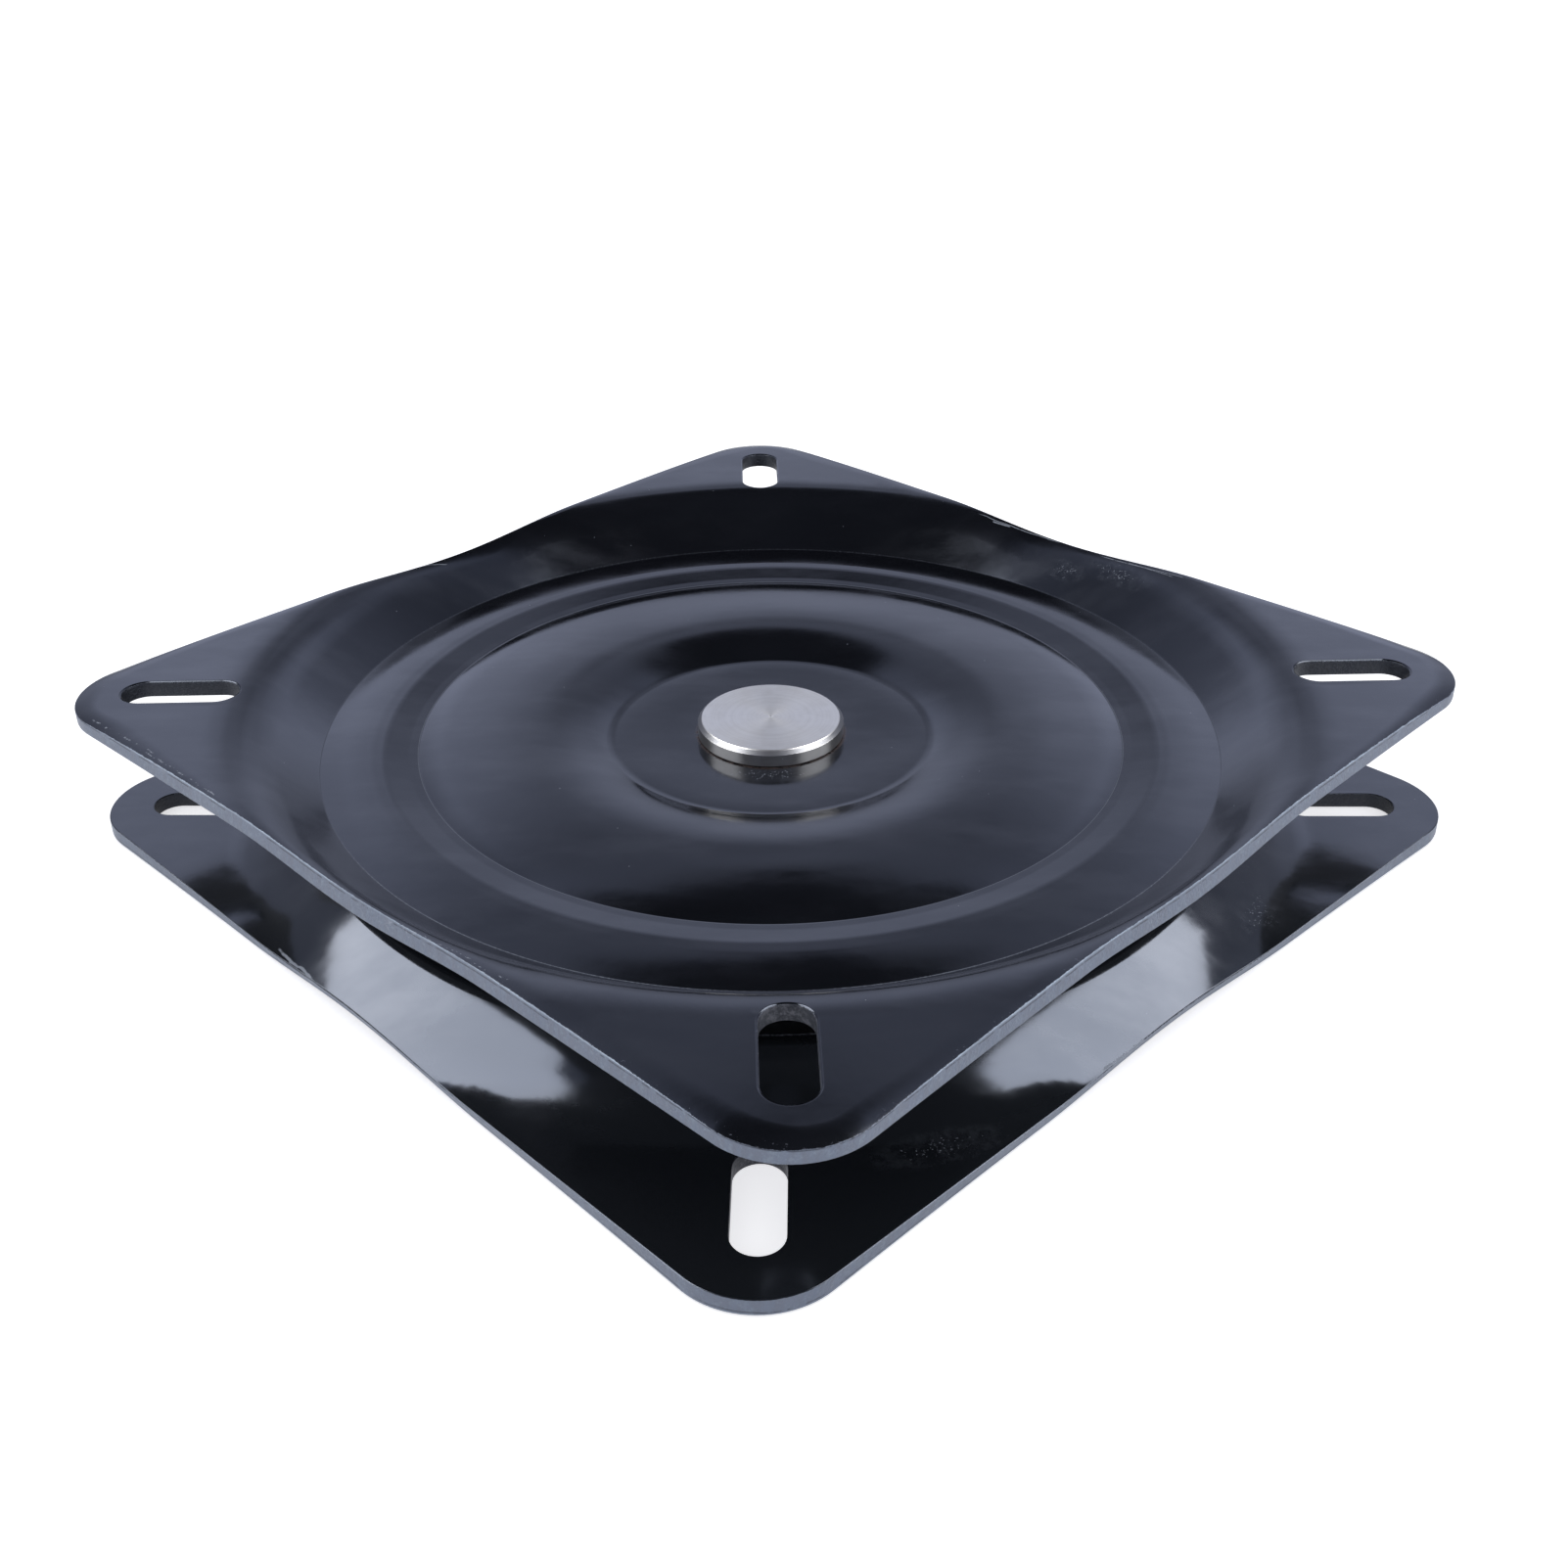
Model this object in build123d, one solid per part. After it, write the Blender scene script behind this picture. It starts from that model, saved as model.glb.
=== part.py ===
"""Seat swivel plate: two pressed square plates turning on a ring of balls round a centre pin.

Origin: on the turning axis, level with the underside of the lower plate's corner wings.
+Z is up. The lower plate's corners point along X and Y; the upper plate is turned a little.
Lengths are in millimetres, angles in degrees.
"""
import math
import os

from build123d import *

# Square plates
PLATE_SIDE = 201.6       # across the flats, measured beside the corners
CORNER_R = 15.5          # rounding of each corner
SIDE_DRAW = 1.2          # how far pressing draws in the middle of each side
STEEL = 3.3              # sheet thickness
REST_TURN = 2.3          # turn of the upper plate against the lower one, at rest

# Fixing slots, one in each corner wing, running towards the axis
SLOT_LENGTH = 22.9
SLOT_WIDTH = 8.7
SLOT_TO_TIP = 8.7        # from the slot's outer end to the corner's tip

# Pressed section, depths below the wing's outer face, radii from the axis
FLOOR_R = 32.0           # foot of the inner wall
FLOOR_DEPTH = 11.5
WALL_SLOPE = 20.0        # inner wall
DOME_DEPTH = 8.35        # crest of the broad dome
DOME_TURN_IN = 21.2      # from the ball track to the dome's first downward bend
DOME_DROP_IN = 1.0       # the dome's fall at its second bend, below its crest
DOME_TURN_OUT = 10.8     # from the ball track to the dome's second bend
CREASE_IN = 7.8          # from the ball track to the crease at the dome's foot
CREASE_DEPTH = 10.05
CREASE_LIP = 0.2         # first rise out of the crease
TRACK_R = 77.4           # ball track, under the crest of the ridge
TRACK_FLAT = 1.2         # half width of the ridge's flat crest
TRACK_DEPTH = 9.1        # crest of the ridge
TRACK_RISE = 9.2         # slope from the lip up to the ridge
RIDGE_TURN = 5.2         # from the ball track to the bend in the ridge's outer fall
RIDGE_DROP = 0.2         # fall as far as that bend
FOOT_OUT = 10.1          # from the ball track to the foot of the ridge's outer fall
FOOT_DEPTH = 9.85
COIN_WIDTH = 1.6         # narrow coined line round that foot
COIN_RISE = 0.35
RAMP_SLOPE = 37.3        # ramp up to the wings

# Bend radii of the outer face, from the floor outwards
WALL_FOOT_BEND = 6.0
SHOULDER_BEND = 43.0
CREST_BEND = 160.0
DOME_FOOT_BEND = 40.0
SHARP_BEND = 0.4
RIDGE_IN_BEND = 8.0
RIDGE_OUT_BEND = 24.0
RIDGE_FALL_BEND = 90.0
WING_BEND = 12.5
SHORTEST_RUN = 0.03      # straight left between two bends

# Main ball race
BALL_D = 7.0
BALL_COUNT = 24
BALL_CLEAR = 0.02        # between a ball and each track
CAGE_WIDTH = 10.6
CAGE_GAP = 1.42          # between the cage and each track
POCKET_CLEAR = 0.1

# Centre pin
PIN_R = 6.0
PIN_HEAD_R = 14.6
PIN_HEAD_HEIGHT = 3.5
PIN_HEAD_CHAMFER = 0.85
PIN_HEAD_UNDERCUT = 0.3
PIN_FIT = 0.03           # radial gap in the upper plate and in the bearing cup
PIN_RUNNING = 0.06       # radial gap in the lower plate
NECK_R = 4.6
PEEN_R = 7.6
PEEN_HEIGHT = 2.2
PEEN_FLANK = 1.1         # height of the steep outer part of the peened end
PEEN_TAPER = 0.55        # its draw-in over that height
PEEN_FACE_R = 5.4

# Lower thrust bearing, in the lower plate's dish
THRUST_BALL_D = 4.0
THRUST_BALL_GAP = 0.1    # least gap between neighbours in the full ring
THRUST_R = 12.2
THRUST_GROOVE = 0.6      # depth of the groove in the cup
GROOVE_CLEAR = 0.1       # the groove's section is this much larger than the ball's radius
CUP_THICKNESS = 2.0
CUP_CHAMFER = 1.0
CUP_RIM = 1.4
CUP_WALL_GAP = 1.9       # between the balls and the cup's rim
CUP_RIM_GAP = 0.4        # between the cup's rim and the lower plate

# Heights worked out from the stack: ball, tracks, steel and pressing
HALF_HEIGHT = BALL_D / 2 + BALL_CLEAR + STEEL + TRACK_DEPTH
HEIGHT = 2 * HALF_HEIGHT
UPPER_FLOOR_TOP = HEIGHT - FLOOR_DEPTH
LOWER_FLOOR_UNDER = FLOOR_DEPTH
CAGE_THICKNESS = BALL_D + 2 * (BALL_CLEAR - CAGE_GAP)

# Lower bearing worked out from its ring of balls
THRUST_COUNT = int(math.pi / math.asin((THRUST_BALL_D + THRUST_BALL_GAP) / (2 * THRUST_R)))
CUP_R = THRUST_R + THRUST_BALL_D / 2 + CUP_WALL_GAP + CUP_RIM

# Outline worked out from the square, its corners and the drawn-in sides
CORNER_CENTRE = PLATE_SIDE / 2 - CORNER_R
TIP_REACH = CORNER_CENTRE * math.sqrt(2) + CORNER_R
WAIST = PLATE_SIDE / 2 - SIDE_DRAW
SLOT_CENTRE = TIP_REACH - SLOT_TO_TIP - SLOT_LENGTH / 2


def bend_radii(points, radii):
    """Each bend radius, limited where its two neighbouring runs are too short for it."""
    runs = [math.dist(a, b) for a, b in zip(points, points[1:])]
    headings = [math.atan2(b[1] - a[1], b[0] - a[0]) for a, b in zip(points, points[1:])]
    half_turns = [abs(b - a) / 2 for a, b in zip(headings, headings[1:])]
    setbacks = [r * math.tan(h) for r, h in zip(radii, half_turns)]
    limited = []
    for i, setback in enumerate(setbacks):
        before = setbacks[i - 1] if i else 0.0
        after = setbacks[i + 1] if i + 1 < len(setbacks) else 0.0
        share_in = min(1.0, (runs[i] - SHORTEST_RUN) / (before + setback))
        share_out = min(1.0, (runs[i + 1] - SHORTEST_RUN) / (after + setback))
        limited.append(radii[i] * min(share_in, share_out))
    return limited


def offset_path(points, distance):
    """The same run of straights, moved sideways by a distance, mitred at the bends."""
    headings = [math.atan2(b[1] - a[1], b[0] - a[0]) for a, b in zip(points, points[1:])]
    headings = [headings[0]] + headings + [headings[-1]]
    moved = []
    for point, before, after in zip(points, headings, headings[1:]):
        middle = (before + after) / 2
        reach = distance / math.cos((after - before) / 2)
        moved.append((point[0] - reach * math.sin(middle), point[1] + reach * math.cos(middle)))
    return moved


def pressed_path(inner_r, outer_r):
    """Corner points and bend radii of the outer face, from the pin hole to beyond the tip."""
    shoulder_r = FLOOR_R + (FLOOR_DEPTH - DOME_DEPTH) / math.tan(math.radians(WALL_SLOPE))
    crease_r = TRACK_R - CREASE_IN
    ridge_in_r = TRACK_R - TRACK_FLAT
    lip_depth = CREASE_DEPTH - CREASE_LIP
    lip_r = ridge_in_r - (lip_depth - TRACK_DEPTH) / math.tan(math.radians(TRACK_RISE))
    foot_r = TRACK_R + FOOT_OUT
    coin_depth = FOOT_DEPTH - COIN_RISE
    ramp_run = coin_depth / math.tan(math.radians(RAMP_SLOPE))
    bends = [
        (FLOOR_R, FLOOR_DEPTH, WALL_FOOT_BEND),
        (shoulder_r, DOME_DEPTH, SHOULDER_BEND),
        (TRACK_R - DOME_TURN_IN, DOME_DEPTH, CREST_BEND),
        (TRACK_R - DOME_TURN_OUT, DOME_DEPTH + DOME_DROP_IN, DOME_FOOT_BEND),
        (crease_r, CREASE_DEPTH, SHARP_BEND),
        (lip_r, lip_depth, RIDGE_IN_BEND),
        (ridge_in_r, TRACK_DEPTH, RIDGE_IN_BEND),
        (TRACK_R + TRACK_FLAT, TRACK_DEPTH, RIDGE_OUT_BEND),
        (TRACK_R + RIDGE_TURN, TRACK_DEPTH + RIDGE_DROP, RIDGE_FALL_BEND),
        (foot_r, FOOT_DEPTH, SHARP_BEND),
        (foot_r + COIN_WIDTH, coin_depth, SHARP_BEND),
        (foot_r + COIN_WIDTH + ramp_run, 0.0, WING_BEND),
    ]
    points = [(inner_r, -FLOOR_DEPTH)] + [(r, -depth) for r, depth, _ in bends]
    points.append((outer_r, 0.0))
    return points, bend_radii(points, [bend for _, _, bend in bends])


def pressed_sheet(hole_r):
    """The dished sheet as a solid of revolution, its wings' outer face at z = 0."""
    points, radii = pressed_path(hole_r, TIP_REACH + STEEL)
    under = offset_path(points, -STEEL)
    under[0] = (hole_r, under[0][1])
    turns = []
    for a, b, c in zip(points, points[1:], points[2:]):
        turns.append((b[0] - a[0]) * (c[1] - b[1]) - (b[1] - a[1]) * (c[0] - b[0]))
    under_radii = [r + math.copysign(STEEL, turn) for r, turn in zip(radii, turns)]
    outer = FilletPolyline(*[(r, 0, z) for r, z in points], radius=radii)
    inner = FilletPolyline(*[(r, 0, z) for r, z in under], radius=under_radii)
    ends = [Line(outer @ 0, inner @ 0), Line(outer @ 1, inner @ 1)]
    section = make_face(outer.edges() + inner.edges() + [e.edge() for e in ends])
    return revolve(section, Axis.Z, 360)


def outline():
    """The square outline, corners on X and Y, sides drawn in as long shallow arcs."""
    waist_in = WAIST - CORNER_CENTRE
    side_r = (waist_in**2 + CORNER_CENTRE**2 - CORNER_R**2) / (2 * (CORNER_R - waist_in))
    side_centre = Vector(WAIST + side_r, 0).rotate(Axis.Z, 45)
    corner = Vector(CORNER_CENTRE * math.sqrt(2), 0)
    tip = Vector(TIP_REACH, 0)
    after_corner = corner + (side_centre - corner).normalized() * CORNER_R
    before_corner = Vector(after_corner.X, -after_corner.Y)
    next_corner = Vector(after_corner.Y, after_corner.X)
    waist = Vector(WAIST, 0).rotate(Axis.Z, 45)
    edges = []
    for quarter in range(4):
        turn = Rot(0, 0, 90 * quarter)
        edges.append(turn * ThreePointArc(before_corner, tip, after_corner))
        edges.append(turn * ThreePointArc(after_corner, waist, next_corner))
    return make_face([e.edge() for e in edges])


def slots(depth):
    """The four slot cutters, from z = -depth to z = +depth."""
    slot = SlotOverall(SLOT_LENGTH, SLOT_WIDTH)
    cutter = extrude(slot, depth, both=True)
    return [Rot(0, 0, 90 * quarter) * Pos(SLOT_CENTRE, 0, 0) * cutter for quarter in range(4)]


def pressed_plate(hole_r):
    """One plate with its outer face up and its wings' outer face at z = 0."""
    blank = extrude(outline(), HEIGHT, both=True)
    plate = pressed_sheet(hole_r) & blank
    for cutter in slots(HALF_HEIGHT):
        plate -= cutter
    return plate.solid()


def upper_plate():
    return Pos(0, 0, HEIGHT) * Rot(0, 0, REST_TURN) * pressed_plate(PIN_R + PIN_FIT)


def lower_plate():
    return Rot(180, 0, 0) * pressed_plate(PIN_R + PIN_RUNNING)


def turned(profile):
    """A turned piece, from its half section as (radius, height) points."""
    face = make_face(Polyline(*[(r, 0, z) for r, z in profile], close=True))
    return revolve(face, Axis.Z, 360).solid()


def cup_floor_top():
    return LOWER_FLOOR_UNDER - (THRUST_BALL_D - THRUST_GROOVE + 2 * BALL_CLEAR)


def centre_pin():
    """Chamfered head on the upper floor, shank, neck through the cup and peened end."""
    seat = UPPER_FLOOR_TOP
    top = seat + PIN_HEAD_HEIGHT
    shoulder = cup_floor_top()
    neck_end = shoulder - CUP_THICKNESS
    return turned([
        (0, top),
        (PIN_HEAD_R - PIN_HEAD_CHAMFER, top),
        (PIN_HEAD_R, top - PIN_HEAD_CHAMFER),
        (PIN_HEAD_R, seat + PIN_HEAD_UNDERCUT),
        (PIN_HEAD_R - PIN_HEAD_UNDERCUT, seat),
        (PIN_R, seat),
        (PIN_R, shoulder),
        (NECK_R, shoulder),
        (NECK_R, neck_end),
        (PEEN_R, neck_end),
        (PEEN_R - PEEN_TAPER, neck_end - PEEN_FLANK),
        (PEEN_FACE_R, neck_end - PEEN_HEIGHT),
        (0, neck_end - PEEN_HEIGHT),
    ])


def bearing_cup():
    """Grooved cup held up by the pin's peened end, with a rim round the small balls."""
    top = cup_floor_top()
    under = top - CUP_THICKNESS
    rim_top = LOWER_FLOOR_UNDER - CUP_RIM_GAP
    body = turned([
        (NECK_R + PIN_FIT, top),
        (NECK_R + PIN_FIT, under),
        (CUP_R - CUP_CHAMFER, under),
        (CUP_R, under + CUP_CHAMFER),
        (CUP_R, rim_top),
        (CUP_R - CUP_RIM, rim_top),
        (CUP_R - CUP_RIM, top),
    ])
    groove_r = THRUST_BALL_D / 2 + GROOVE_CLEAR
    groove = Pos(0, 0, top - THRUST_GROOVE + groove_r) * Torus(THRUST_R, groove_r)
    return (body - groove).solid()


def ring_of_places(count, radius, height):
    return [Rot(0, 0, 360 * i / count) * Pos(radius, 0, height) for i in range(count)]


def ball_cage():
    """Moulded ring between the plates, with a round pocket for each ball."""
    disc = Cylinder(TRACK_R + CAGE_WIDTH / 2, CAGE_THICKNESS)
    hole = Cylinder(TRACK_R - CAGE_WIDTH / 2, CAGE_THICKNESS)
    cage = Pos(0, 0, HALF_HEIGHT) * (disc - hole)
    pocket = Sphere(BALL_D / 2 + POCKET_CLEAR)
    for place in ring_of_places(BALL_COUNT, TRACK_R, HALF_HEIGHT):
        cage -= place * pocket
    return cage.solid()


def main():
    parts = {
        "upper_plate": upper_plate(),
        "lower_plate": lower_plate(),
        "centre_pin": centre_pin(),
        "bearing_cup": bearing_cup(),
        "ball_cage": ball_cage(),
    }
    ball = Sphere(BALL_D / 2)
    for i, place in enumerate(ring_of_places(BALL_COUNT, TRACK_R, HALF_HEIGHT), 1):
        parts[f"race_ball_{i:02d}"] = place * ball
    small_ball = Sphere(THRUST_BALL_D / 2)
    thrust_height = LOWER_FLOOR_UNDER - BALL_CLEAR - THRUST_BALL_D / 2
    for i, place in enumerate(ring_of_places(THRUST_COUNT, THRUST_R, thrust_height), 1):
        parts[f"thrust_ball_{i:02d}"] = place * small_ball
    os.makedirs("parts", exist_ok=True)
    for name, shape in parts.items():
        export_step(shape, f"parts/{name}.step")


main()
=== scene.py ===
import functools
import math

import bmesh
import bpy
import numpy as np
from mathutils import Matrix, Vector, noise


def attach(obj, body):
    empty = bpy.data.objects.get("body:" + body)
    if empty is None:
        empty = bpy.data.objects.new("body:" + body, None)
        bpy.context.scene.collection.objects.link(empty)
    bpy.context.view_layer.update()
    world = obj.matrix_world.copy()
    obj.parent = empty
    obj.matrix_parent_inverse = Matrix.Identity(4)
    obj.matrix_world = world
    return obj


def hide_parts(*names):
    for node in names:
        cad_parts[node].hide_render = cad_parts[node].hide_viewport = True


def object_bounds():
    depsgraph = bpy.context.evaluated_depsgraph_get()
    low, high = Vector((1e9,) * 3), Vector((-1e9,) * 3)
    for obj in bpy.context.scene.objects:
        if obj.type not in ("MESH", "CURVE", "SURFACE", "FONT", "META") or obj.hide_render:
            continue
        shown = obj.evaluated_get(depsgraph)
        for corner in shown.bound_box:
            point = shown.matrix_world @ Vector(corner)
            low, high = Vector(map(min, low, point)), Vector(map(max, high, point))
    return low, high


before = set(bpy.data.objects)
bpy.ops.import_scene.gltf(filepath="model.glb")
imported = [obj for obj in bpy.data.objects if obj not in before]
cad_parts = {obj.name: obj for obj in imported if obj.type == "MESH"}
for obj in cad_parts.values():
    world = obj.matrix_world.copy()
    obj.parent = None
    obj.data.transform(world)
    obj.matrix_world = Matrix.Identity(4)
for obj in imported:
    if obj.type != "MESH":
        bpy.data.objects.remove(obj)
cad_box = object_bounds()

# Lengths are in millimetres while a piece is shaped, and become metres when it is finished
MM = 0.001

# Plates, as pressed
HEIGHT = cad_box[1][2] / MM
PLATE_SIDE = 201.6        # across the flats, beside the corners
CORNER_R = 15.5
SIDE_DRAW = 1.2
STEEL = 3.3
REST_TURN = math.radians(2.3)
HOLE_R = 6.03
SLOT_LENGTH = 22.9
SLOT_WIDTH = 8.7
SLOT_TO_TIP = 8.7
EDGE_INSET = 0.05         # keeps the outline just inside the solid's

# The pressed section: radius, depth below the wings and bend radius of each corner
TRACK_R = 77.4
FLOOR_R = 32.0
FLOOR_DEPTH = 11.5
DOME_DEPTH = 8.35
COIN_R = TRACK_R + 11.1   # the coined line, where the ridge meets the ramp
RAMP_FOOT_R = TRACK_R + 11.7
RAMP_DEPTH = 9.5
WALL_SLOPE = math.tan(math.radians(20.0))
TRACK_RISE = math.tan(math.radians(9.2))
RAMP_SLOPE = math.tan(math.radians(37.3))
CREASE_R = TRACK_R - 7.8
SECTION = [
    (FLOOR_R, FLOOR_DEPTH, 6.0),
    (FLOOR_R + (FLOOR_DEPTH - DOME_DEPTH) / WALL_SLOPE, DOME_DEPTH, 43.0),
    (TRACK_R - 21.2, DOME_DEPTH, 160.0),
    (TRACK_R - 10.8, 9.35, 40.0),
    (CREASE_R, 10.05, 0.4),
    (TRACK_R - 1.2 - 0.75 / TRACK_RISE, 9.85, 8.0),
    (TRACK_R - 1.2, 9.1, 8.0),
    (TRACK_R + 1.2, 9.1, 24.0),
    (TRACK_R + 5.2, 9.3, 90.0),
    (COIN_R, RAMP_DEPTH + (RAMP_FOOT_R - COIN_R) * RAMP_SLOPE, 0.3),
    (RAMP_FOOT_R + RAMP_DEPTH / RAMP_SLOPE, 0.0, 12.5),
]

# Outline worked out from the square
CORNER_CENTRE = PLATE_SIDE / 2 - CORNER_R
TIP_REACH = CORNER_CENTRE * math.sqrt(2) + CORNER_R
WAIST = PLATE_SIDE / 2 - SIDE_DRAW
SLOT_CENTRE = TIP_REACH - SLOT_TO_TIP - SLOT_LENGTH / 2

# Sheared edges: the outer face droops a little towards its lip, and the inner one has a burr
DROOP_IN = 2.6
DROOP_DROP = 0.15
DROOP_SWAY = 0.6          # the droop's width varies by up to this share along the edge
SWAY_PACE = 0.06          # and this fast, per millimetre
TIP_START = 112.0         # the corners droop further in and deeper past this radius
TIP_RUN = 20.0
TIP_DROOP_IN = 0.8
LIP_R = 0.24
LIP_LEAN = 0.9            # the lip is shaded as if it turned this much of its way down
BURR = 0.2
SLOT_DROOP = (0.45, 0.08)
# How far each side's sheared wall runs out, at its middle, per depth, and the corners' deeper droop
UPPER_SHEAR = (0.14, 0.5)
LOWER_SHEAR = (0.36, 0.05)

# Fineness of the plate meshes
CORNER_STEPS = 22         # along each rounded corner
SIDE_STEPS = 68           # along each side
QUARTER_STEPS = CORNER_STEPS + SIDE_STEPS
ROUND_LIMIT = 91.0        # rings are round inside this radius, and follow the outline outside it
RIM_IN = 6.5              # the outermost flat ring of each face lies this far in from the edge
WING_RINGS = 28
DROOP_STEPS = 7
LIP_STEPS = 4
BURR_STEPS = 3
WALL_STEPS = 5
BEND_STEP = math.radians(4.0)
LONGEST_RUN = 3.5
SLOT_MARGIN = 1.7         # plate faces this near a slot are remade to fit it
SLOT_STEPS = 80           # round each slot

# Centre pin, as turned
PIN_SEAT = HEIGHT - FLOOR_DEPTH
PIN_HEAD_R = 14.6
PIN_HEAD_HEIGHT = 3.5
PIN_TOP = PIN_SEAT + PIN_HEAD_HEIGHT
PIN_CHAMFER = 0.85
PIN_UNDERCUT = 0.3
PIN_DIMPLE_R = 0.5
PIN_DIMPLE_DEPTH = 0.12
PIN_EDGE_R = 0.1
PIN_R = 6.0
NECK_R = 4.6
PEEN_R = 7.6
PEEN_FLAT_R = 5.4
PEEN_HEIGHT = 2.2
PEEN_SHOULDER = (0.55, 1.1)
HAMMERED_FROM = 0.9       # the peened end is dented below this much of its height
HAMMER_DENT = 0.12
CUP_DROP = 3.44           # from the lower dish's floor down to the cup's
CUP_STEEL = 2.0
CUP_FLOOR = FLOOR_DEPTH - CUP_DROP
CUP_UNDER = CUP_FLOOR - CUP_STEEL
PIN_STEPS = 288
SAME_PLACE = 1e-4         # vertices nearer than this are one
SHARP_TURN = math.radians(30)


# Sections and outline

def rounded(ends, radii):
    """Radius, height and heading along a run of straights whose bends are drawn as arcs."""
    headings = [math.atan2(b[1] - a[1], b[0] - a[0]) for a, b in zip(ends, ends[1:])]
    turns = [math.remainder(b - a, math.tau) for a, b in zip(headings, headings[1:])]
    runs = [math.dist(a, b) for a, b in zip(ends, ends[1:])]
    setbacks = [r * math.tan(abs(turn) / 2) for r, turn in zip(radii, turns)]
    path = [(ends[0][0], ends[0][1], headings[0])]
    for i, corner in enumerate(ends[1:-1]):
        before = setbacks[i - 1] if i else 0.0
        after = setbacks[i + 1] if i + 1 < len(setbacks) else 0.0
        fit = min(1.0, runs[i] / (before + setbacks[i]), runs[i + 1] / (setbacks[i] + after))
        setback = setbacks[i] * fit
        start_r = corner[0] - setback * math.cos(headings[i])
        start_z = corner[1] - setback * math.sin(headings[i])
        from_r, from_z, _ = path[-1]
        pieces = max(1, math.ceil(math.dist((from_r, from_z), (start_r, start_z)) / LONGEST_RUN))
        for k in range(1, pieces + 1):
            share = k / pieces
            place_r = from_r + (start_r - from_r) * share
            place_z = from_z + (start_z - from_z) * share
            path.append((place_r, place_z, headings[i]))
        bend = setback / math.tan(abs(turns[i]) / 2)
        steps = max(2, math.ceil(abs(turns[i]) / BEND_STEP))
        for k in range(1, steps + 1):
            part = turns[i] * k / steps
            chord = 2 * bend * math.sin(abs(part) / 2)
            way = headings[i] + part / 2
            place_r = start_r + chord * math.cos(way)
            place_z = start_z + chord * math.sin(way)
            path.append((place_r, place_z, headings[i] + part))
    path.append((ends[-1][0], ends[-1][1], headings[-1]))
    return path


SECTION_ENDS = [(0.0, -FLOOR_DEPTH)] + [(r, -d) for r, d, _ in SECTION] + [(TIP_REACH + STEEL, 0.0)]
OUTER_FACE = np.array(rounded(SECTION_ENDS, [bend for _, _, bend in SECTION]))
UNDER_FACE = np.column_stack([
    OUTER_FACE[:, 0] + STEEL * np.sin(OUTER_FACE[:, 2]),
    OUTER_FACE[:, 1] - STEEL * np.cos(OUTER_FACE[:, 2]),
    OUTER_FACE[:, 2],
])
FACES = {"outer": OUTER_FACE, "under": UNDER_FACE}
# Slight extra slope of the dish floor and of the dome's fall, at these radii
EXTRA_SLOPE_AT = (12.0, 20.0, 27.0, 31.0, 50.0, 57.0, 63.0, 67.0)
EXTRA_SLOPE = (0.0, 0.045, 0.04, 0.0, 0.0, -0.035, -0.025, 0.0)
# The bend into the wings is shaded as if it began and ended this much further off, more and more
# between two radii
SOFT_BEND = 3.4
SOFT_BEND_AT = (92.0, 97.0)


@functools.lru_cache(maxsize=None)
def section_at(side, radius):
    """Height of one face of the plate at a radius, and the slope it is shaded by."""
    face = FACES[side]
    soft = np.interp(radius, SOFT_BEND_AT, (0.0, SOFT_BEND))
    slope = np.mean(np.interp((radius - soft, radius, radius + soft), face[:, 0], face[:, 2]))
    slope += np.interp(radius, EXTRA_SLOPE_AT, EXTRA_SLOPE)
    return float(np.interp(radius, face[:, 0], face[:, 1])), float(slope)


def on_face(side, spot):
    """Height and outward normal of one face of the plate at a place."""
    radius = round(spot.length, 4)
    height, slope = section_at(side, radius)
    lean = -math.sin(slope) / radius
    normal = Vector((lean * spot.x, lean * spot.y, math.cos(slope)))
    return height, normal if side == "outer" else -normal


def outline_place(step):
    """Point, outward direction and share of the lean on the outline, counted round from the +X tip."""
    waist_in = WAIST - CORNER_CENTRE
    side_r = (waist_in**2 + CORNER_CENTRE**2 - CORNER_R**2) / (2 * (CORNER_R - waist_in))
    side_centre = Vector((WAIST + side_r, 0)) @ Matrix.Rotation(-math.pi / 4, 2)
    corner = Vector((CORNER_CENTRE * math.sqrt(2), 0))
    to_side = (side_centre - corner).normalized()
    corner_turn = math.atan2(to_side.y, to_side.x)
    quarter, along = divmod(step, QUARTER_STEPS)
    half_corner = CORNER_STEPS / 2
    if along > QUARTER_STEPS - half_corner:
        quarter, along = quarter + 1, along - QUARTER_STEPS
    if along <= half_corner:
        turn = corner_turn * along / half_corner
        out = Vector((math.cos(turn), math.sin(turn)))
        place = corner + CORNER_R * out
        lean = 0.0
    else:
        ray = corner + CORNER_R * to_side - side_centre
        half_side = math.pi + math.pi / 4 - math.atan2(ray.y, ray.x) % math.tau
        turn = 2 * half_side * (along - half_corner) / SIDE_STEPS
        ray = Matrix.Rotation(turn, 2) @ ray
        place = side_centre + ray
        out = -ray.normalized()
        lean = 1 - (2 * (along - half_corner) / SIDE_STEPS - 1) ** 2
    spin = Matrix.Rotation(quarter * math.pi / 2, 2)
    return spin @ (place - EDGE_INSET * out), spin @ out, lean


# Sheared edges, shared by the outline and the slots

def edge_rings():
    """The rings down a sheared edge: zone, and share of the way through it."""
    rings = [("droop", k / DROOP_STEPS) for k in range(DROOP_STEPS + 1)]
    rings += [("lip", k / LIP_STEPS) for k in range(1, LIP_STEPS + 1)]
    rings += [("wall", k / WALL_STEPS) for k in range(1, WALL_STEPS)]
    rings += [("burr", k / BURR_STEPS) for k in range(BURR_STEPS + 1)]
    return rings


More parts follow.
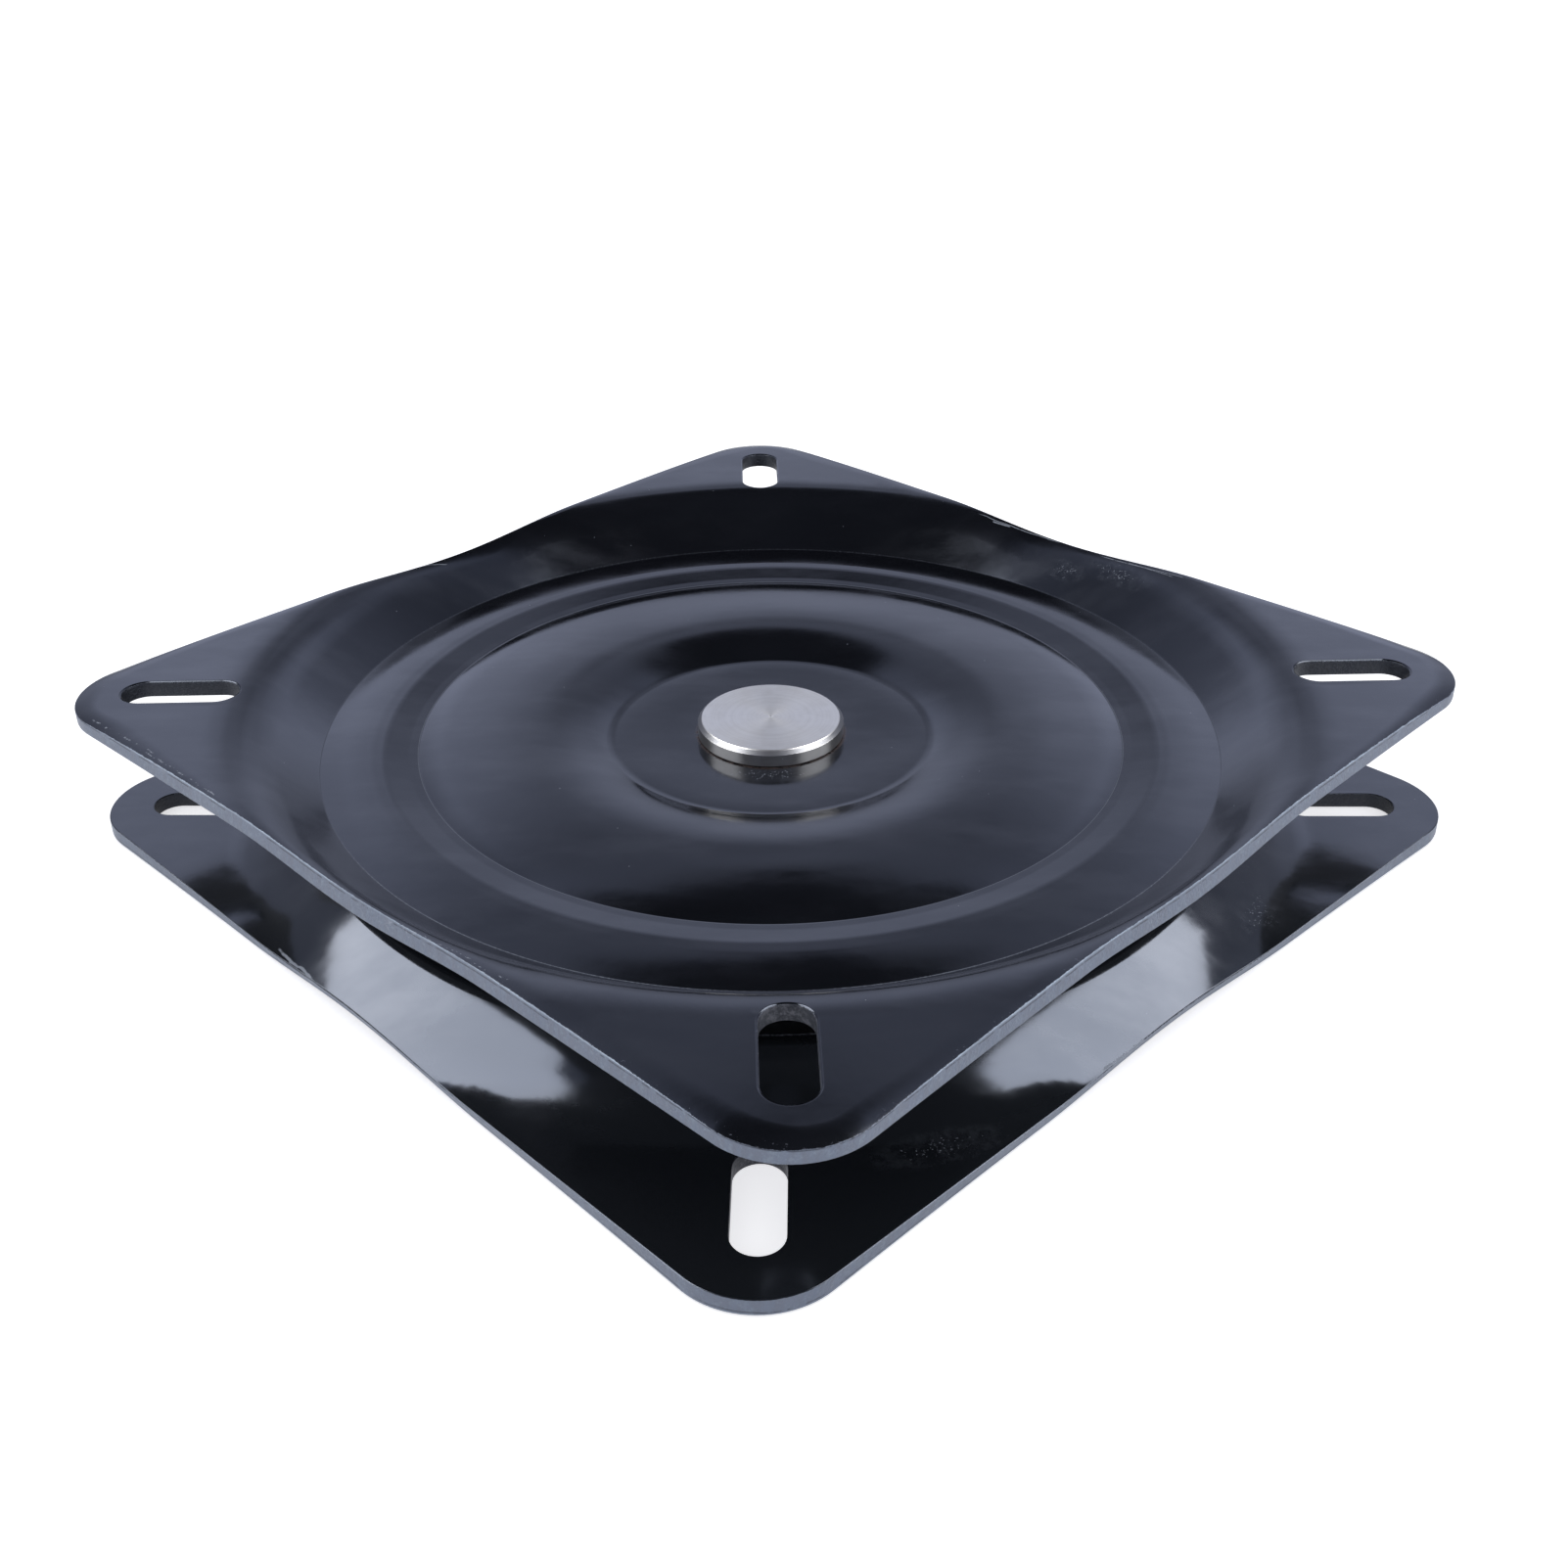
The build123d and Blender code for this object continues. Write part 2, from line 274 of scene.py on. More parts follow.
def edge_point(edge, out, lean, droop, zone, share):
    """Place, height, normal, edge mask and depth of a point on a sheared edge."""
    droop_in, droop_drop = droop
    steepest = math.atan(2 * droop_drop / (droop_in - LIP_R))
    out_3d = out.to_3d()
    up = Vector((0, 0, 1))
    if zone in ("droop", "lip"):
        if zone == "droop":
            tilt = steepest * share
            inset = LIP_R + (droop_in - LIP_R) * (1 - share)
            drop = droop_drop * share**2
            mask = 0.5 * share
        else:
            turn = steepest + (math.pi / 2 - steepest) * share
            tilt = turn * LIP_LEAN
            inset = LIP_R * (1 - math.sin(turn))
            drop = droop_drop + LIP_R * (math.cos(steepest) - math.cos(turn))
            mask = 0.5 + 0.5 * share
        spot = edge - out * inset
        height, normal = on_face("outer", spot)
        normal = normal * math.cos(tilt) + out_3d * math.sin(tilt)
        return spot, height - drop, normal.normalized(), mask, drop
    lip_drop = droop_drop + LIP_R * math.cos(steepest)
    top = on_face("outer", edge)[0] - lip_drop
    low_edge = edge + out * lean * STEEL
    low = on_face("under", low_edge)[0] + BURR
    if zone == "wall":
        height = top + (low - top) * share
        normal = (out_3d + up * lean).normalized()
        return edge.lerp(low_edge, share), height, normal, 1.0, lip_drop + top - height
    turn = share * math.pi / 2
    spot = low_edge - out * BURR * (1 - math.cos(turn))
    height, normal = on_face("under", spot)
    height += BURR * (1 - math.sin(turn))
    normal = normal * math.sin(turn) + (out_3d + up * lean) * math.cos(turn)
    return spot, height, normal.normalized(), 1.0 - share, lip_drop + top - low


def layers(bm):
    """What each vertex carries: its normal, and how far it is edge, down the wall and in a slot."""
    floats = bm.verts.layers.float
    return bm.verts.layers.float_vector["smooth"], floats["edge"], floats["depth"], floats["punched"]


def set_vert(bm, vert, spot, height, normal, edge=0.0, depth=0.0, punched=0.0):
    """Puts a vertex in its place and fills in its layers."""
    smooth, edge_layer, depth_layer, punched_layer = layers(bm)
    vert.co = (spot.x, spot.y, height)
    vert[smooth] = normal
    vert[edge_layer] = edge
    vert[depth_layer] = depth
    vert[punched_layer] = punched


# Plates

def plate_rings():
    """Every ring of the plate's mesh, from the hole over the outer face and back underneath."""
    inner = [HOLE_R] + [p[0] for p in OUTER_FACE if HOLE_R < p[0] < ROUND_LIMIT] + [ROUND_LIMIT]
    wings = [k / WING_RINGS for k in range(1, WING_RINGS + 1)]
    rings = [("outer", "round", radius) for radius in inner]
    rings += [("outer", "wing", share) for share in wings]
    rings += [("edge", zone, share) for zone, share in edge_rings()]
    rings += [("under", "wing", share) for share in reversed(wings)]
    rings += [("under", "round", radius) for radius in reversed(inner)]
    return rings


def spun_plate(lean, corner_droop):
    """The pressed plate without its slots, spun as a closed chain and laid on its two faces."""
    bm = bmesh.new()
    bm.verts.layers.float_vector.new("smooth")
    for name in ("edge", "depth", "punched"):
        bm.verts.layers.float.new(name)
    count = 4 * QUARTER_STEPS
    outline = [outline_place(step) for step in range(count)]
    rings = plate_rings()
    chain = [bm.verts.new((HOLE_R + i, 0, 0)) for i in range(len(rings))]
    edges = [bm.edges.new(pair) for pair in zip(chain, chain[1:] + chain[:1])]
    bmesh.ops.spin(bm, geom=chain + edges, cent=(0, 0, 0), axis=(0, 0, 1), dvec=(0, 0, 0),
                   angle=math.tau, steps=count, use_merge=True, use_duplicate=False)
    for vert in bm.verts:
        side, zone, share = rings[round(math.hypot(vert.co.x, vert.co.y) - HOLE_R)]
        edge, out, side_share = outline[round(math.atan2(vert.co.y, vert.co.x) / math.tau * count) % count]
        if side == "edge":
            sway = 1 + DROOP_SWAY * noise.noise(edge.to_3d() * SWAY_PACE)
            near_tip = min(1.0, max(0.0, (edge.length - TIP_START) / TIP_RUN))
            droop_in = DROOP_IN * (sway + TIP_DROOP_IN * near_tip)
            droop = (droop_in, DROOP_DROP + corner_droop * near_tip**2)
            set_vert(bm, vert, *edge_point(edge, out, lean * side_share, droop, zone, share))
            continue
        bearing = edge.normalized()
        if zone == "round":
            spot = bearing * share
        else:
            spot = (bearing * ROUND_LIMIT).lerp(edge - out * RIM_IN, share)
        set_vert(bm, vert, spot, *on_face(side, spot))
    return bm


def wall_distance(spot, quarter):
    """How far a place lies outside a slot's wall, in plan."""
    local = Matrix.Rotation(-quarter * math.pi / 2, 2) @ spot
    half_line = (SLOT_LENGTH - SLOT_WIDTH) / 2
    middle = Vector((min(max(local.x, SLOT_CENTRE - half_line), SLOT_CENTRE + half_line), 0))
    return (local - middle).length - SLOT_WIDTH / 2


def slot_place(share, quarter):
    """Point and inward direction on a slot's wall, a share of the way round it."""
    straight = SLOT_LENGTH - SLOT_WIDTH
    radius = SLOT_WIDTH / 2
    half_way = straight + math.pi * radius
    half, along = divmod(share * 2 * half_way, half_way)
    inward = Vector((0, 1))
    middle = Vector((min(along, straight) - straight / 2, 0))
    if along > straight:
        inward = Matrix.Rotation((along - straight) / radius, 2) @ inward
    half_turn = Matrix.Rotation(half * math.pi, 2)
    spin = Matrix.Rotation(quarter * math.pi / 2, 2)
    place = half_turn @ (middle - inward * radius) + Vector((SLOT_CENTRE, 0))
    return spin @ place, spin @ half_turn @ inward


def cut_slot(bm, quarter):
    """Opens the plate round one slot, and gives the slot its rolled lip, wall and burr."""
    def near(face):
        spots = [face.calc_center_median().xy] + [vert.co.xy for vert in face.verts]
        return min(wall_distance(spot, quarter) for spot in spots) < SLOT_MARGIN

    bmesh.ops.delete(bm, geom=[face for face in bm.faces if near(face)], context="FACES")
    rims = {"outer": [], "under": []}
    for edge in bm.edges:
        if edge.is_boundary:
            spot = edge.verts[0].co
            middle = (on_face("outer", spot.xy)[0] + on_face("under", spot.xy)[0]) / 2
            rims["outer" if spot.z > middle else "under"].append(edge)
    ring = bmesh.ops.create_circle(bm, cap_ends=False, radius=1.0, segments=SLOT_STEPS)["verts"]
    places = {}
    for vert in ring:
        turn = math.atan2(vert.co.y, vert.co.x) % math.tau
        places[vert] = slot_place(round(turn / math.tau * SLOT_STEPS) % SLOT_STEPS / SLOT_STEPS, quarter)
    edges = list({edge for vert in ring for edge in vert.link_edges})
    first_loop = edges
    for index, (zone, share) in enumerate(edge_rings()):
        if index:
            made = bmesh.ops.extrude_edge_only(bm, edges=edges)["geom"]
            ring = [item for item in made if isinstance(item, bmesh.types.BMVert)]
            edges = [item for item in made if isinstance(item, bmesh.types.BMEdge)]
            places = {vert: places[edge.other_vert(vert)] for vert in ring for edge in vert.link_edges
                      if edge.other_vert(vert) in places}
        for vert, (wall, inward) in places.items():
            set_vert(bm, vert, *edge_point(wall, inward, 0.0, SLOT_DROOP, zone, share), 1.0)
    for side, loop, up in (("outer", first_loop, 1), ("under", edges, -1)):
        bmesh.ops.triangle_fill(bm, use_beauty=True, edges=rims[side] + loop, normal=(0, 0, up))


def pressed_plate(lean, corner_droop):
    """One plate with its outer face up and its wings' outer face at z = 0."""
    bm = spun_plate(lean, corner_droop)
    for quarter in range(4):
        cut_slot(bm, quarter)
    bmesh.ops.recalc_face_normals(bm, faces=bm.faces)
    if bm.calc_volume(signed=True) < 0:
        bmesh.ops.reverse_faces(bm, faces=bm.faces)
    return bm


def finished(bm, name, body, node, material):
    """Makes a mesh object of a shaped piece, in metres, in place of its solid."""
    bmesh.ops.scale(bm, vec=(MM, MM, MM), verts=bm.verts)
    mesh = bpy.data.meshes.new(name)
    bm.to_mesh(mesh)
    bm.free()
    mesh.materials.append(material)
    piece = bpy.data.objects.new(name, mesh)
    bpy.context.scene.collection.objects.link(piece)
    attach(piece, body)
    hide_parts(node)
    return piece


def place_plate(bm, name, body, node, material, place):
    """Turns a plate into its place and shades it by the normals of the true pressing."""
    bmesh.ops.transform(bm, matrix=place, verts=bm.verts)
    smooth = bm.verts.layers.float_vector["smooth"]
    turn = place.to_3x3()
    normals = [tuple((turn @ vert[smooth]).normalized()) for vert in bm.verts]
    for face in bm.faces:
        face.smooth = True
    piece = finished(bm, name, body, node, material)
    piece.data.attributes.remove(piece.data.attributes["smooth"])
    piece.data.normals_split_custom_set_from_vertices(normals)
    return piece


# Centre pin

def centre_pin(material):
    """Chamfered head with a centre mark, shank, neck and hammered end."""
    # Radius, height and bend radius of each corner, from the centre mark outwards and down
    profile = [
        (0.0, PIN_TOP - PIN_DIMPLE_DEPTH, 0.0),
        (PIN_DIMPLE_R, PIN_TOP, 0.15),
        (PIN_HEAD_R - PIN_CHAMFER, PIN_TOP, PIN_EDGE_R),
        (PIN_HEAD_R, PIN_TOP - PIN_CHAMFER, PIN_EDGE_R),
        (PIN_HEAD_R, PIN_SEAT + PIN_UNDERCUT, 0.05),
        (PIN_HEAD_R - PIN_UNDERCUT, PIN_SEAT, 0.05),
        (PIN_R, PIN_SEAT, 0.05),
        (PIN_R, CUP_FLOOR, 0.05),
        (NECK_R, CUP_FLOOR, 0.05),
        (NECK_R, CUP_UNDER, 0.05),
        (PEEN_R, CUP_UNDER, 0.3),
        (PEEN_R - PEEN_SHOULDER[0], CUP_UNDER - PEEN_SHOULDER[1], 0.8),
        (PEEN_FLAT_R, CUP_UNDER - PEEN_HEIGHT, 1.2),
        (0.0, CUP_UNDER - PEEN_HEIGHT, 0.0),
    ]
    ends = [(r, z) for r, z, _ in profile]
    path = rounded(ends, [bend for _, _, bend in profile[1:-1]])
    bm = bmesh.new()
    chain = []
    for r, z, _ in path:
        if not chain or (chain[-1].co - Vector((r, 0, z))).length > SAME_PLACE:
            chain.append(bm.verts.new((r, 0, z)))
    edges = [bm.edges.new(pair) for pair in zip(chain, chain[1:])]
    bmesh.ops.spin(bm, geom=chain + edges, cent=(0, 0, 0), axis=(0, 0, 1), dvec=(0, 0, 0),
                   angle=math.tau, steps=PIN_STEPS, use_merge=True, use_duplicate=False)
    bmesh.ops.remove_doubles(bm, verts=bm.verts, dist=SAME_PLACE)
    bmesh.ops.recalc_face_normals(bm, faces=bm.faces)
    for vert in bm.verts:
        if vert.co.z < CUP_UNDER - HAMMERED_FROM:
            rough = noise.noise(vert.co * 0.9) + 0.5 * noise.noise(vert.co * 2.1)
            vert.co.z += HAMMER_DENT * max(0.0, rough)
    for face in bm.faces:
        face.smooth = True
    for edge in bm.edges:
        edge.smooth = len(edge.link_faces) == 2 and edge.calc_face_angle() < SHARP_TURN
    return finished(bm, "turned_centre_pin", "top", "centre_pin", material)


# Shader building blocks

class Wiring:
    """Adds nodes to one tree; the short methods give the new node's output."""

    def __init__(self, tree):
        self.tree = tree

    def feed(self, socket, value):
        if isinstance(value, bpy.types.NodeSocket):
            self.tree.links.new(value, socket)
        elif socket.type == "RGBA" and len(value) == 3:
            socket.default_value = (*value, 1)
        else:
            socket.default_value = value

    def add(self, kind, inputs=None, **settings):
        node = self.tree.nodes.new("ShaderNode" + kind)
        for name, value in settings.items():
            setattr(node, name, value)
        for name, value in (inputs or {}).items():
            self.feed(node.inputs[name], value)
        return node

    def math(self, operation, *values):
        return self.add("Math", dict(enumerate(values)), operation=operation).outputs[0]

    def vector(self, operation, *values):
        node = self.add("VectorMath", dict(enumerate(values)), operation=operation)
        return node.outputs["Value" if operation in ("LENGTH", "DOT_PRODUCT") else "Vector"]

    def ease(self, value, low, high, start=0.0, end=1.0):
        inputs = {"Value": value, "From Min": low, "From Max": high, "To Min": start, "To Max": end}
        return self.add("MapRange", inputs, interpolation_type="SMOOTHSTEP").outputs[0]

    def band(self, value, middle, half_width):
        """1 at the middle of a band, easing to 0 at its two sides."""
        away = self.math("ABSOLUTE", self.math("SUBTRACT", value, middle))
        return self.ease(away, half_width, 0.0)

    def mix(self, share, first, second):
        return self.add("Mix", {0: share, 6: first, 7: second}, data_type="RGBA").outputs[2]

    def levels(self, value, stops):
        """A curve through (position, level) stops."""
        node = self.add("ValToRGB", {0: value})
        ramp = node.color_ramp.elements
        ramp[0].position, ramp[1].position = stops[0][0], stops[-1][0]
        ramp[0].color = (stops[0][1],) * 3 + (1,)
        ramp[1].color = (stops[-1][1],) * 3 + (1,)
        for position, level in stops[1:-1]:
            ramp.new(position).color = (level,) * 3 + (1,)
        return node.outputs["Color"]

    def noise(self, place, size, detail=2.0, roughness=0.5):
        inputs = {"Vector": place, "Scale": 1 / size, "Detail": detail, "Roughness": roughness}
        return self.add("TexNoise", inputs).outputs[0]

    def place(self):
        """Where the shaded point lies on the resting object, in millimetres."""
        coords = self.add("TexCoord").outputs["Object"]
        return self.vector("MULTIPLY", coords, (1 / MM, 1 / MM, 1 / MM))

    def coordinate(self, place, axis):
        return self.add("SeparateXYZ", {0: place}).outputs[axis]

    def in_plan(self, place):
        return self.vector("MULTIPLY", place, (1.0, 1.0, 0.0))

    def from_axis(self, place):
        """Distance of a place from the object's axis."""
        return self.vector("LENGTH", self.in_plan(place))

    def spread(self, value):
        """One value along all three axes."""
        return self.add("CombineXYZ", {"X": value, "Y": value, "Z": value}).outputs[0]

    def bump(self, height, distance):
        """A bumped normal, the bump's distance in millimetres."""
        return self.add("Bump", {"Height": height, "Distance": distance * MM}).outputs[0]

    def attribute(self, name):
        return self.add("Attribute", attribute_name=name).outputs["Fac"]

    def group(self, tree, inputs):
        node = self.add("Group", node_tree=tree)
        for name, value in inputs.items():
            self.feed(node.inputs[name], value)
        return node.outputs


def new_group(name, inputs, outputs):
    """An empty node group with named sockets, its wiring, and its two end nodes."""
    tree = bpy.data.node_groups.new(name, "ShaderNodeTree")
    for label, value in inputs.items():
        kind = "NodeSocketVector" if isinstance(value, tuple) else "NodeSocketFloat"
        tree.interface.new_socket(name=label, in_out="INPUT", socket_type=kind).default_value = value
    for label in outputs:
        tree.interface.new_socket(name=label, in_out="OUTPUT", socket_type="NodeSocketFloat")
    wiring = Wiring(tree)
    given = tree.nodes.new("NodeGroupInput").outputs
    taken = tree.nodes.new("NodeGroupOutput").inputs
    return tree, wiring, given, taken


# Shared effects

def surface_skin():
    """Slight waviness of a coat, and the smears that dull its gloss."""
    tree, w, given, taken = new_group("surface_skin", {"Ripple": 3.0, "Swell": 0.0}, ["Height", "Smears"])
    place = w.place()
    ripple = w.noise(w.vector("DIVIDE", place, w.spread(given["Ripple"])), 1.0, 2.0)
    swell = w.math("MULTIPLY", w.noise(place, 15.0, 2.0), given["Swell"])
    w.feed(taken["Height"], w.math("ADD", ripple, swell))
    stretched = w.vector("MULTIPLY", place, (1.0, 2.6, 1.0))
    w.feed(taken["Smears"], w.ease(w.noise(stretched, 30.0, 6.0, 0.64), 0.4, 0.7))
    return tree


def dust_specks():
    """Scattered pale specks, one in each cell of a share of the cells."""
    tree, w, given, taken = new_group(
        "dust_specks", {"Spacing": 4.0, "Size": 0.12, "Share": 0.3}, ["Specks"])
    spaced = w.vector("DIVIDE", w.place(), w.spread(given["Spacing"]))
    cells = w.add("TexVoronoi", {"Vector": spaced, "Scale": 1.0})
    reach = w.math("DIVIDE", given["Size"], given["Spacing"])
    near = w.ease(cells.outputs["Distance"], reach, w.math("MULTIPLY", reach, 0.5))
    pick = w.add("SeparateColor", {0: cells.outputs["Color"]}).outputs[0]
    chosen = w.math("LESS_THAN", pick, given["Share"])
    w.feed(taken["Specks"], w.math("MULTIPLY", near, chosen))
    return tree


def sheared_edge():
    """Masks down a sheared edge: dull wall, pale worn lip with a painted highlight, dark line painted as a
    groove's shade, and chips by the lip.
    """
    tree, w, given, taken = new_group(
        "sheared_edge", {"Edge": 0.0, "Depth": 0.0, "Wander": 0.3}, ["Wall", "Lip", "Line", "Chips"])
    place = w.place()
    wave = w.math("SUBTRACT", w.noise(place, 7.0, 4.0, 0.6), 0.5)
    depth = w.math("MULTIPLY_ADD", wave, w.math("MULTIPLY", given["Wander"], 3.0), given["Depth"])
    nibble = w.math("SUBTRACT", w.noise(place, 1.6, 4.0, 0.7), 0.5)
    worn = w.math("MULTIPLY_ADD", nibble, 0.8, given["Edge"])
    w.feed(taken["Wall"], w.ease(worn, 0.62, 0.84))
    patches = w.ease(w.noise(place, 14.0, 3.0), 0.35, 0.6)
    lip = w.math("MULTIPLY", w.ease(worn, 0.55, 0.8), w.ease(depth, 0.6, 0.4))
    w.feed(taken["Lip"], w.math("MULTIPLY", lip, w.math("MULTIPLY_ADD", patches, 0.6, 0.4)))
    ragged = w.ease(w.noise(place, 4.5, 4.0, 0.6), 0.44, 0.52)
    w.feed(taken["Line"], w.math("MULTIPLY", w.band(depth, 0.85, 0.2), ragged))
    lips = w.math("MULTIPLY", w.ease(given["Edge"], 0.3, 0.5), w.ease(given["Edge"], 0.9, 0.7))
    flakes = w.ease(w.noise(place, 0.7, 4.0, 0.65), 0.64, 0.7)
    w.feed(taken["Chips"], w.math("MULTIPLY", lips, flakes))
    return tree


SCUFF_HEIGHT = 6.0        # from the top to the bottom of a scuff, on steel that slopes


def scuff_mark():
    """A place covered in fine specks and faint film, both thinning out towards its rim."""
    tree, w, given, taken = new_group("scuff_mark", {
        "Centre": (0.0, 0.0, 0.0), "Length": 5.0, "Width": 2.0, "Heading": 0.0,
        "Specks": 0.5, "Film": 0.5}, ["Mark"])
    away = w.vector("SUBTRACT", w.place(), given["Centre"])
    inputs = {"Vector": away, "Angle": w.math("MULTIPLY", given["Heading"], -1.0)}
    turned = w.add("VectorRotate", inputs, rotation_type="Z_AXIS").outputs[0]
    extent = w.add("CombineXYZ", {"X": given["Length"], "Y": given["Width"], "Z": SCUFF_HEIGHT}).outputs[0]
    shrunk = w.vector("DIVIDE", turned, extent)
    inside = w.ease(w.vector("LENGTH", shrunk), 0.5, 0.05)
    threshold = w.math("MULTIPLY_ADD", inside, -0.2, 0.78)
    specks = w.ease(w.math("SUBTRACT", given["Specks"], threshold), 0.0, 0.05)
    film = w.math("MULTIPLY", w.ease(given["Film"], 0.4, 0.65), 0.07)
    w.feed(taken["Mark"], w.math("MULTIPLY", w.math("ADD", specks, film), w.ease(inside, 0.0, 0.3)))
    return tree


def scratch_line():
    """A thin line between two places seen in plan, swaying and broken here and there."""
    tree, w, given, taken = new_group("scratch_line", {
        "From": (0.0, 0.0, 0.0), "To": (10.0, 0.0, 0.0), "Width": 0.2, "Wander": 0.5, "Broken": 0.3,
        "Sway": 0.5, "Gaps": 0.5}, ["Line"])
    away = w.vector("SUBTRACT", w.in_plan(w.place()), given["From"])
    run = w.vector("SUBTRACT", given["To"], given["From"])
    whole = w.vector("DOT_PRODUCT", run, run)
    share = w.math("DIVIDE", w.vector("DOT_PRODUCT", away, run), whole)
    across = w.vector("CROSS_PRODUCT", w.vector("NORMALIZE", run), away)
    to_side = w.math("SUBTRACT", given["Sway"], 0.5)
    sway = w.math("MULTIPLY", to_side, w.math("MULTIPLY", given["Wander"], 3.0))
    offset = w.math("ADD", w.coordinate(across, "Z"), sway)
    near = w.ease(w.math("ABSOLUTE", offset), given["Width"], w.math("MULTIPLY", given["Width"], 0.4))
    ends = w.math("MULTIPLY", w.ease(share, 0.0, 0.1), w.ease(share, 1.0, 0.9))
    gaps = w.ease(given["Gaps"], given["Broken"], w.math("ADD", given["Broken"], 0.08))
    w.feed(taken["Line"], w.math("MULTIPLY", w.math("MULTIPLY", near, ends), gaps))
    return tree


def turning_marks():
    """Fine rings left by a turning tool, about the object's axis."""
    tree, w, given, taken = new_group("turning_marks", {"Pitch": 0.25}, ["Height", "Tone"])
    place = w.place()
    along = w.math("ADD", w.from_axis(place), w.math("MULTIPLY", w.coordinate(place, "Z"), 1.3))
    turns = w.math("DIVIDE", along, given["Pitch"])
    line = w.add("CombineXYZ", {"X": turns, "Y": 0.0, "Z": 0.0}).outputs[0]
    rings = w.noise(line, 1.0, 3.0, 0.6)
    w.feed(taken["Height"], rings)
    broad = w.noise(w.vector("MULTIPLY", line, (0.12, 0.0, 0.0)), 1.0, 2.0)
    blotch = w.noise(place, 3.5, 4.0, 0.6)
    w.feed(taken["Tone"], w.math("MULTIPLY_ADD", broad, 0.5, w.math("MULTIPLY", blotch, 0.5)))
    return tree


SKIN = surface_skin()
DUST = dust_specks()
EDGE = sheared_edge()
SCUFF = scuff_mark()
SCRATCH = scratch_line()
TURNING = turning_marks()


# Materials

def new_material(name, **inputs):
    """A material with its wiring and its shader, plain values set on the shader's sockets."""
    material = bpy.data.materials.new(name)
    material.use_nodes = True
    shader = material.node_tree.nodes["Principled BSDF"]
    wiring = Wiring(material.node_tree)
    for label, value in inputs.items():
        wiring.feed(shader.inputs[label.replace("_", " ")], value)
    return material, wiring, shader.inputs


# Colours of the coat and its wear, among them painted highlights, shade and light, then of the bare
# metals, with painted shade on the pin head, and the cage
UPPER_ENAMEL = (0.0048, 0.0052, 0.0064)
# the lower plate's black is the same enamel made lighter: painted light
LOWER_ENAMEL_PAINTED_LIGHTER = (0.0125, 0.0142, 0.0168)
DULL_WALL = (0.175, 0.205, 0.27)
# pale worn lip, partly a painted highlight along the rounded edge
WORN_LIP_AND_HIGHLIGHT = (0.36, 0.43, 0.52)
SCRAPED = (0.27, 0.33, 0.40)
PAINTED_GROOVE_SHADE = (0.03, 0.035, 0.05)
# dark line down the sheared wall, painted shade of a shallow groove
CHIPPED = (0.16, 0.17, 0.21)
SLOT_CRUST = (0.009, 0.01, 0.013)
# the pale pits of the slot walls turn this much bluer towards the front, as painted light
PAINTED_LIGHT_BLUE = 1.15
# pale dust, scuffs and scratches, and also the painted highlights along the coined line and the crease
DUST_AND_HIGHLIGHT_COLOUR = (0.36, 0.39, 0.45)
GRIME = (0.05, 0.03, 0.02)
TURNED_DARK = (0.60, 0.57, 0.51)
TURNED_PALE = (0.69, 0.66, 0.595)
# The head's side and chamfer are the same turned steel painted darker: painted shade, which also dims the
# chamfer's highlight
HEAD_SIDE_PAINTED_SHADE = (0.29, 0.28, 0.265)
HEAD_CHAMFER_PAINTED_SHADE = (0.21, 0.205, 0.2)
HEAD_SPECK = (0.8, 0.8, 0.8)
ZINC_DARK = (0.42, 0.43, 0.44)
ZINC_PALE = (0.60, 0.60, 0.57)
NYLON = (0.022, 0.022, 0.024)
GREASED_NYLON = (0.045, 0.036, 0.022)
NYLON_DUST = (0.12, 0.11, 0.1)
BALL = (0.66, 0.66, 0.66)
GREASED_BALL = (0.48, 0.45, 0.38)

# Scuffs seen on the upper plate: centre, length, width and heading
UPPER_SCUFFS = [
    ((67.1, 66.1, 26.2), 14.0, 9.0, -0.8),
    ((78.0, 58.5, 28.6), 26.0, 11.0, -0.8),
    ((3.4, -106.0, 31.6), 12.0, 3.0, 0.1),
    ((0.0, -17.0, 20.3), 34.0, 9.0, 0.0),
    ((-118.0, -32.0, 31.8), 34.0, 6.0, -0.72),
]
# and lines where the coat is peeled or scratched: ends, width, wander and gaps
UPPER_SCRATCHES = [
    ((48.1, 89.3, 0.0), (66.8, 73.5, 0.0), 0.13, 0.25, 0.28),
    ((51.5, 85.8, 0.0), (55.5, 82.6, 0.0), 0.24, 0.3, 0.3),
    ((74.2, 66.1, 0.0), (91.8, 48.8, 0.0), 0.12, 0.2, 0.36),
    ((79.5, 61.4, 0.0), (88.6, 51.0, 0.0), 0.1, 0.2, 0.42),
    ((33.0, 105.4, 0.0), (37.4, 100.8, 0.0), 0.18, 0.3, 0.3),
    ((-82.0, 58.5, 0.0), (-75.0, 63.5, 0.0), 0.1, 0.3, 0.3),
    ((-130.0, -15.2, 0.0), (-112.0, -30.6, 0.0), 0.22, 0.5, 0.5),
    ((-116.0, -28.0, 0.0), (-97.0, -45.0, 0.0), 0.2, 0.5, 0.48),
    ((-62.0, -78.5, 0.0), (-36.0, -101.0, 0.0), 0.14, 0.6, 0.5),
]
LOWER_SCUFFS = [
    ((92.0, -42.0, 6.0), 24.0, 14.0, 0.9),
    ((28.0, -104.0, 4.0), 30.0, 10.0, 0.3),
]
LOWER_SCRATCHES = [
    ((-89.0, -52.0, 0.0), (-80.0, -62.0, 0.0), 0.25, 0.5, 0.35),
    ((56.0, -86.0, 0.0), (66.0, -77.0, 0.0), 0.25, 0.4, 0.35),
]


